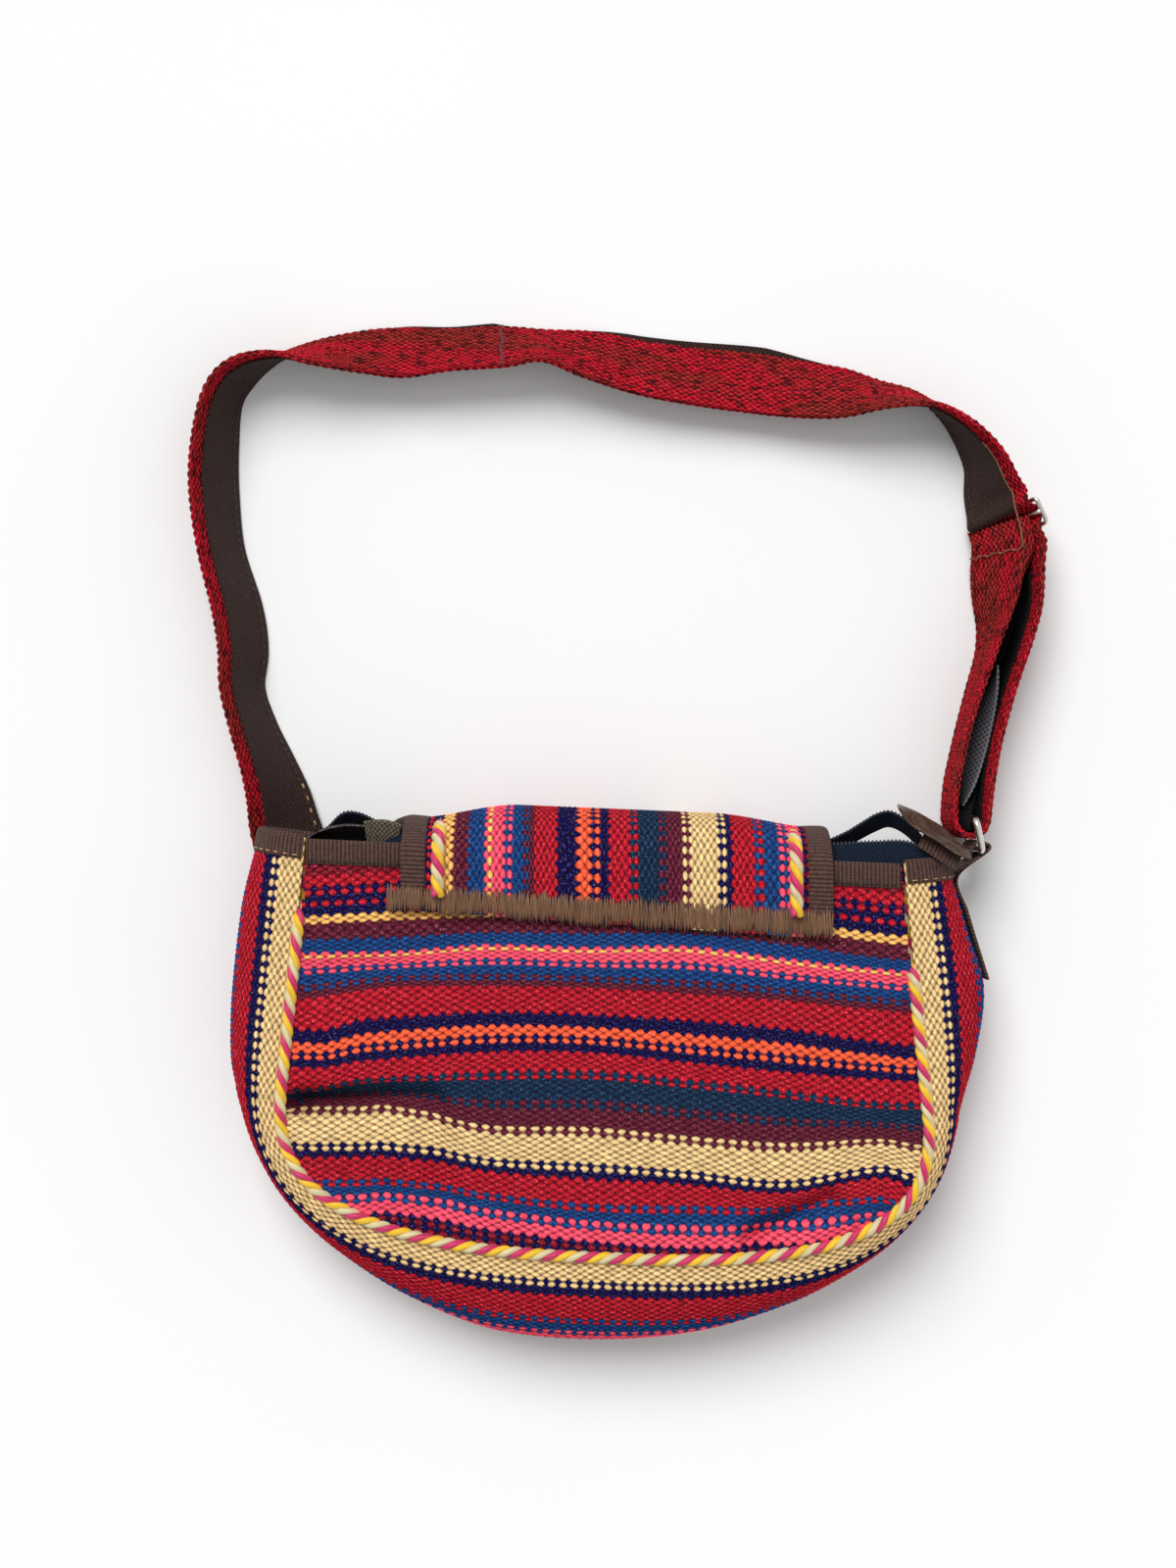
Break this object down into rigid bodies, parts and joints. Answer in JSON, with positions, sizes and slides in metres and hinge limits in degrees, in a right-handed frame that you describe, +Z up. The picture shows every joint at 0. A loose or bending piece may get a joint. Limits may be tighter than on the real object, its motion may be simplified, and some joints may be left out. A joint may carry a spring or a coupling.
{
  "type": "shoulder bag",
  "caption": "Striped flat-woven wool shoulder bag with rope piping, a flap over the mouth and a red strap, lying face down.",
  "frame": {"origin": "middle of the bounding box, on the table", "axes": "+X along the mouth, +Y from the bag towards the top of the strap's loop, +Z up from the table"},
  "size_m": [0.3654, 0.4302, 0.0661],
  "materials": {
    "striped_wool": "matte",
    "twisted_cord": "satin",
    "brown_tape": "matte",
    "navy_tape": "matte",
    "red_wool": "matte",
    "grey_spunbond": "matte",
    "metal": "polished",
    "leatherette": "satin"
  },
  "bodies": {
    "root": {"back_panel": "striped_wool", "front_panel": "striped_wool", "gusset": "striped_wool", "flap": "striped_wool", "piping_back": "twisted_cord", "piping_front": "twisted_cord", "flap_cord_left": "twisted_cord", "flap_cord_right": "twisted_cord", "flap_binding_left": "brown_tape", "flap_binding_right": "brown_tape", "back_binding": "brown_tape", "front_binding": "brown_tape", "gusset_binding_left": "brown_tape", "gusset_binding_right": "brown_tape", "strap_lining": "brown_tape", "ring_tab": "brown_tape", "zip_tape_back": "navy_tape", "zip_tape_front": "navy_tape", "strap": "red_wool", "strap_backing": "grey_spunbond", "slider": "metal", "ring": "metal", "tab_end_left": "leatherette", "tab_end_right": "leatherette"}
  },
  "joints": []
}
